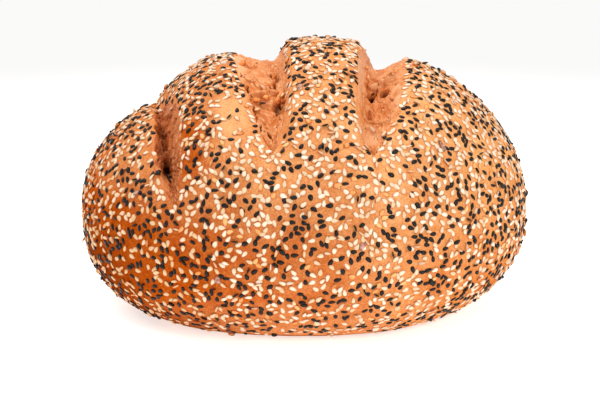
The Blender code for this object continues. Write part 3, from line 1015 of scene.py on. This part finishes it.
def build_bran(finish):
    """A few thin flakes of bran on the crust."""
    spots = as_columns(
        (*spot_on_loaf(x, lean, lambda x, lean: 0.0), roll, pitch, FLAKE_LIFT, 0.0)
        for x, lean, roll, pitch in FLAKES
    )
    build_seeds("bran", *BRAN_FLAKE, spots, finish, "crust", np.random.default_rng(11))


def build_knobs(finish):
    """Toasted knobs of torn dough that stick up in the slashes."""
    spots = as_columns((*spot_in_slash(*knob[:3]), 0.2, 0.15, KNOB_LIFT, 0.5) for knob in KNOBS)
    turns = np.array([knob[3] for knob in KNOBS])
    sizes = np.array([knob[4:] for knob in KNOBS])
    build_seeds("knobs", sizes, KNOB_SHAPE, spots, finish, "crumb", np.random.default_rng(13), turns)


# ---------------- finishes


class Signal:
    """A node's output, so that shader maths reads as arithmetic."""

    def __init__(self, finish, output):
        self.finish = finish
        self.output = output

    def maths(self, operation, first, second, clamp=False):
        settings = {"operation": operation, "use_clamp": clamp}
        return self.finish.node("ShaderNodeMath", settings, {0: first, 1: second})

    def __add__(self, other):
        return self.maths("ADD", self, other)

    __radd__ = __add__

    def __sub__(self, other):
        return self.maths("SUBTRACT", self, other)

    def __rsub__(self, other):
        return self.maths("SUBTRACT", other, self)

    def __mul__(self, other):
        return self.maths("MULTIPLY", self, other)

    __rmul__ = __mul__

    def clamped(self):
        return self.maths("ADD", self, 0.0, clamp=True)

    def rising(self, start, end):
        """0 up to start, 1 from end, and smooth between."""
        settings = {"interpolation_type": "SMOOTHSTEP"}
        sockets = {"Value": self, "From Min": start, "From Max": end}
        return self.finish.node("ShaderNodeMapRange", settings, sockets)


class Finish:
    """A node material, written as expressions on its signals."""

    def __init__(self, name):
        self.material = bpy.data.materials.new(name)
        self.material.use_nodes = True
        self.tree = self.material.node_tree
        self.shader = self.tree.nodes["Principled BSDF"]
        self.place = self.node("ShaderNodeTexCoord", output="Object")

    def node(self, kind, settings=None, sockets=None, output=0):
        """Adds a node: first its settings, then the values or links of its sockets."""
        made = self.tree.nodes.new(kind)
        for name, value in (settings or {}).items():
            setattr(made, name, value)
        for name, value in (sockets or {}).items():
            self.feed(made.inputs[name], value)
        return Signal(self, made.outputs[output])

    def feed(self, socket, value):
        if isinstance(value, Signal):
            self.tree.links.new(value.output, socket)
        elif socket.type == "RGBA":
            socket.default_value = (*value, 1.0)
        else:
            socket.default_value = value

    def mix(self, share, first, second):
        """The first colour, blended into the second by that share."""
        settings = {"data_type": "RGBA", "clamp_factor": True}
        return self.node("ShaderNodeMix", settings, {0: share, 6: first, 7: second}, output=2)

    def layered(self, colour, layers):
        """The colour under layers of others, each given as its share and colour."""
        for share, layer in layers:
            colour = self.mix(share, colour, layer)
        return colour

    def across(self, axis, size):
        """A function of two places along an axis, in units of size: the rise from 0 to 1 between them."""
        place = self.node("ShaderNodeSeparateXYZ", None, {0: self.place}, output=axis)
        return lambda start, end: place.rising(start * size, end * size)

    def noise(self, size, detail, roughness):
        """Cloudy noise around 0.5 whose patches are about that size."""
        sockets = {"Vector": self.place, "Scale": 1.0 / size, "Detail": detail, "Roughness": roughness}
        return self.node("ShaderNodeTexNoise", None, sockets)

    def value(self, name):
        """A number stored on the mesh's points."""
        return self.node("ShaderNodeAttribute", {"attribute_name": name}, output="Fac")

    def bump(self, height, distance, strength, under=None):
        """Small relief on top of the mesh, given as a height of 0 to 1 times distance."""
        sockets = {"Height": height, "Distance": distance, "Strength": strength}
        if under is not None:
            sockets["Normal"] = under
        return self.node("ShaderNodeBump", None, sockets)

    def finished(self, **sockets):
        """Feeds the shader's sockets and gives the material."""
        for name, value in sockets.items():
            self.feed(self.shader.inputs[name.replace("_", " ")], value)
        return self.material


def linear(red, green, blue):
    """A display colour of 0 to 255 as a linear one."""
    shares = [channel / 255 for channel in (red, green, blue)]
    return tuple(s / 12.92 if s <= 0.04045 else ((s + 0.055) / 1.055) ** 2.4 for s in shares)


def crust_finish():
    """Golden brown crust: darker blotches, pale specks and blisters; darker to the left and low down,
    partly browner and partly painted shade; paler to the right with painted light, and more orange low down
    there with a painted warm reflection.
    """
    finish = Finish("crust")
    up, right = finish.across("Z", HEIGHT), finish.across("X", LENGTH)
    blotch = finish.noise(26 * MM, 4.0, 0.55).rising(0.38, 0.66)
    mottle = finish.noise(4.5 * MM, 5.0, 0.6).rising(0.36, 0.66)
    speck = finish.noise(0.9 * MM, 2.0, 0.5)
    grit = finish.noise(0.6 * MM, 2.0, 0.6)

    # How dark it is: more in blotches, and more to the left, low down and beside the left slash, partly
    # browner crust and partly painted shade
    painted_shade_band = up(0.07, 0.24) * (1 - up(0.28, 0.62))
    browning_and_shade = (1 - 0.75 * right(-0.45, 0.25)) * (0.96 - 0.45 * up(0.35, 0.75))
    browning_and_shade = (browning_and_shade + 0.24 * painted_shade_band + 0.24 * blotch + 0.40 * finish.value("toast") - 0.05).clamped()

    # Golden, with painted light making it paler to the right, and a painted warm reflection making it more
    # orange low down there
    rightness, low_belly = right(0.12, 0.46), 1 - up(0.12, 0.40)
    light = finish.mix(rightness * (1 - low_belly), (0.84, 0.385, 0.145), (0.96, 0.475, 0.165))
    light = finish.mix(rightness * low_belly * 0.9, light, (0.76, 0.26, 0.030))
    paler = finish.mix(browning_and_shade, (0.95, 0.55, 0.26), (0.60, 0.15, 0.014))
    darker = finish.mix(browning_and_shade, (0.66, 0.19, 0.035), (0.28, 0.034, 0.002))

    # Painted shade, darkest at the foot of the left end
    painted_shade_left_foot = (1 - right(-0.48, -0.26)) * (1 - up(0.14, 0.52))
    painted_shade_left_foot = (painted_shade_left_foot + (1 - up(0.02, 0.16)) * (1 - right(-0.40, -0.08))).clamped()

    torn = finish.mix(browning_and_shade, linear(232, 146, 88), linear(196, 104, 50))
    base = 1 - finish.across("Z", MM)(0.6, 3.0)
    flour = finish.noise(3.0 * MM, 6.0, 0.65).rising(0.5, 0.72)
    floury = finish.mix(flour * 0.5, linear(150, 84, 40), linear(214, 164, 116))
    layers = (
        # browner crust, darker to the left and low down with painted shade
        (browning_and_shade, (0.45, 0.070, 0.004)),
        (finish.value("pale") * 0.85, (0.97, 0.50, 0.22)),  # where few seeds stuck
        (mottle * 0.30, paler),
        ((1 - mottle) * 0.28, darker),
        (speck.rising(0.54, 0.66) * 0.55, paler),
        ((1 - speck.rising(0.32, 0.45)) * 0.50, darker),
        (grit.rising(0.58, 0.70) * 0.65, paler),
        # painted shade at the foot of the left end
        (painted_shade_left_foot * 0.94, (0.175, 0.021, 0.001)),
        (finish.value("edge") * 0.30, torn),
        (finish.value("bare"), linear(214, 128, 76)),  # the backing under the crumb
        (base, floury),
    )
    ripples = finish.bump(finish.noise(5.0 * MM, 3.0, 0.5), 0.5 * MM, 0.6)
    pimples = finish.bump(finish.noise(1.2 * MM, 5.0, 0.65), 0.30 * MM, 0.9, ripples)
    return finish.finished(
        Base_Color=finish.layered(light, layers), Roughness=0.52 + 0.12 * mottle + 0.25 * base,
        Normal=pimples, Specular_IOR_Level=0.0,
    )


def crumb_finish():
    """Torn crumb: painted highlights on its ridges, painted shade in its hollows and holes, and darker all
    over in the left slash, partly browner and partly painted shade.
    """
    finish = Finish("crumb")
    ridge, deep, steep = (finish.value(name) for name in ("ridge", "deep", "steep"))
    # Darker in the left slash: partly browner crumb and partly painted shade
    browned_and_shaded = 1 - finish.across("X", LENGTH)(-0.30, -0.16)
    patch = finish.noise(5.0 * MM, 4.0, 0.6).rising(0.38, 0.66)
    fine = finish.noise(1.3 * MM, 4.0, 0.7)
    light = finish.mix(patch, (0.74, 0.310, 0.120), (0.66, 0.205, 0.055))
    dark = finish.mix(patch, (0.56, 0.165, 0.048), (0.42, 0.090, 0.016))  # in the left slash
    shade, floury, toasted, ridge_highlight = (
        finish.mix(browned_and_shaded, usual, in_left_slash)
        for usual, in_left_slash in (
            ((0.46, 0.090, 0.008), (0.22, 0.034, 0.002)),
            ((0.93, 0.48, 0.24), (0.66, 0.24, 0.085)),
            # colour of the darker patches: browner crumb and painted shade
            ((0.52, 0.125, 0.016), (0.20, 0.030, 0.002)),
            # painted highlight on the ridges
            ((0.96, 0.56, 0.29), (0.78, 0.33, 0.13)),
        )
    )
    layers = (
        (browned_and_shaded, dark),
        # smooth pale patches, partly painted light on lit ledges and walls
        (finish.value("floury") * 0.70, floury),
        # darker patches: browner crumb and painted shade in hollows and under ledges
        (finish.value("toast") * (0.50 + 0.45 * patch), toasted),
        (steep * (0.10 + 0.15 * browned_and_shaded), shade),
        ((0.1 - ridge).rising(0.0, 1.0) * 0.8, shade),
        ((1 - fine.rising(0.30, 0.50)) * 0.32, shade),
        # painted highlights on the crumb's ridges
        (ridge.rising(0.05, 0.7) * fine.rising(0.46, 0.60) * 0.65, ridge_highlight),
        # painted shade in the holes and deep hollows
        (deep.rising(0.10, 0.85), (0.16, 0.030, 0.005)),  # the dark of the holes
    )
    return finish.finished(
        Base_Color=finish.layered(light, layers), Roughness=0.38,
        Normal=finish.bump(fine, 0.22 * MM, 0.8), Specular_IOR_Level=0.13,
    )


# Each kind of sesame: its skin's two tones, its rim's colour, partly toasted and partly painted warm shade
# and glow, and how much of that shows, and its shine
SESAME_LOOKS = {
    "pale_sesame": ((244, 232, 212), (217, 179, 132), (214, 130, 56), 1.0, 0.4),
    "golden_sesame": ((244, 194, 128), (230, 140, 64), (204, 92, 24), 0.8, 0.4),
    "black_sesame": ((27, 21, 18), (13, 10, 9), (8, 6, 5), 0.5, 0.25),
}


def sesame_finish(name):
    """Seed skins: each seed its own tone between two colours, browner towards its rim, partly toasted and
    partly painted warm shade and glow.
    """
    *colours, rim_share, shine = SESAME_LOOKS[name]
    light, dark, toasted = (linear(*colour) for colour in colours)
    finish = Finish(name)
    tone = finish.value("tone")
    smudge = finish.noise(1.1 * MM, 2.0, 0.5).rising(0.4, 0.7)
    # painted warm shade and glow round each seed's rim, over its toasted edge
    rim = finish.value("rim").rising(0.58, 1.04) * (0.70 + 0.30 * tone)
    layers = ((tone, dark), (smudge * 0.25, dark), (rim * rim_share, toasted))
    return finish.finished(
        Base_Color=finish.layered(light, layers), Roughness=0.42,
        Normal=finish.bump(finish.noise(0.5 * MM, 2.0, 0.5), 0.05 * MM, 0.6), Specular_IOR_Level=shine,
    )


def streaked_finish(name, dark, light):
    """Two tones in small streaks."""
    finish = Finish(name)
    streaks = finish.noise(1.4 * MM, 3.0, 0.6).rising(0.35, 0.65)
    colour = finish.mix(streaks, linear(*dark), linear(*light))
    return finish.finished(Base_Color=colour, Roughness=0.55, Specular_IOR_Level=0.2)


# ---------------- stage


def floor_finish():
    """Plain pale floor that thins out to the white backdrop all round."""
    finish = Finish("floor")
    radius = finish.node("ShaderNodeVectorMath", {"operation": "LENGTH"}, {0: finish.place}, output="Value")
    return finish.finished(
        Base_Color=(0.88, 0.875, 0.87), Roughness=0.55, Alpha=1 - radius.rising(0.22, 0.60),
        Emission_Color=(1.0, 0.97, 0.94), Emission_Strength=0.65,
    )


def build_floor(reach=6.0):
    mesh = bpy.data.meshes.new("floor")
    corners = [(-reach, -reach, 0), (reach, -reach, 0), (reach, reach, 0), (-reach, reach, 0)]
    mesh.from_pydata(corners, [], [(0, 1, 2, 3)])
    mesh.materials.append(floor_finish())
    put("floor", mesh)


def aim(thing, location, target):
    """Puts a lamp or camera at a location and points it at a target."""
    thing.location = location
    thing.rotation_euler = (Vector(target) - Vector(location)).to_track_quat("-Z", "Y").to_euler()


def add_lights():
    """Three large round lamps: place, diameter, power and colour."""
    for name, location, size, power, colour in (
        ("key", (0.85, -1.05, 0.78), 0.60, 8.8, (1.0, 0.98, 0.95)),
        ("top", (-0.30, 0.10, 1.30), 0.80, 7.5, (1.0, 0.99, 0.98)),
        ("left", (-0.90, 0.10, 1.10), 0.80, 4.5, (1.0, 0.99, 0.98)),
    ):
        lamp = bpy.data.lights.new(name, "AREA")
        lamp.shape = "DISK"
        lamp.size = size
        lamp.energy = power
        lamp.color = colour
        aim(put(name, lamp), location, (0, 0, 0.05))


def light_world():
    """A white backdrop that lights the loaf softly from all around."""
    world = bpy.data.worlds.new("studio")
    world.use_nodes = True
    bpy.context.scene.world = world
    tree = world.node_tree
    background = tree.nodes["Background"]
    background.inputs["Color"].default_value = (1.0, 0.995, 0.99, 1.0)
    seen = tree.nodes.new("ShaderNodeLightPath")
    strength = tree.nodes.new("ShaderNodeMapRange")
    strength.inputs["To Min"].default_value = 0.66
    strength.inputs["To Max"].default_value = 0.96
    tree.links.new(seen.outputs["Is Camera Ray"], strength.inputs["Value"])
    tree.links.new(strength.outputs[0], background.inputs["Strength"])


def add_camera():
    """15 degrees above level, straight at the loaf's long side."""
    elevation, distance = math.radians(15), 0.85
    target = Vector((-0.0018, 0.0, 0.0453))
    camera = put("camera", bpy.data.cameras.new("camera"))
    camera.data.sensor_width = 36.0
    camera.data.lens = 113.0
    aim(camera, target + Vector((0, -math.cos(elevation), math.sin(elevation))) * distance, target)
    bpy.context.scene.camera = camera


# ---------------- making


def clear_defaults():
    """Removes what Blender's start-up file puts in the scene."""
    for name in ("Cube", "Light", "Camera"):
        if name in bpy.data.objects:
            bpy.data.objects.remove(bpy.data.objects[name])


def main():
    clear_defaults()
    bpy.context.scene.view_settings.view_transform = "Standard"
    add_camera()
    add_lights()
    light_world()
    build_floor()
    crust, x, lean, bare = build_crust(crust_finish())
    crumb = crumb_finish()
    for slash in SLASHES:
        build_crumb(slash, crumb)
    build_sesame(crust, x, lean, bare)
    build_bran(streaked_finish("bran", (150, 96, 80), (206, 158, 138)))
    build_knobs(streaked_finish("toasted_dough", (208, 100, 28), (250, 174, 100)))


main()
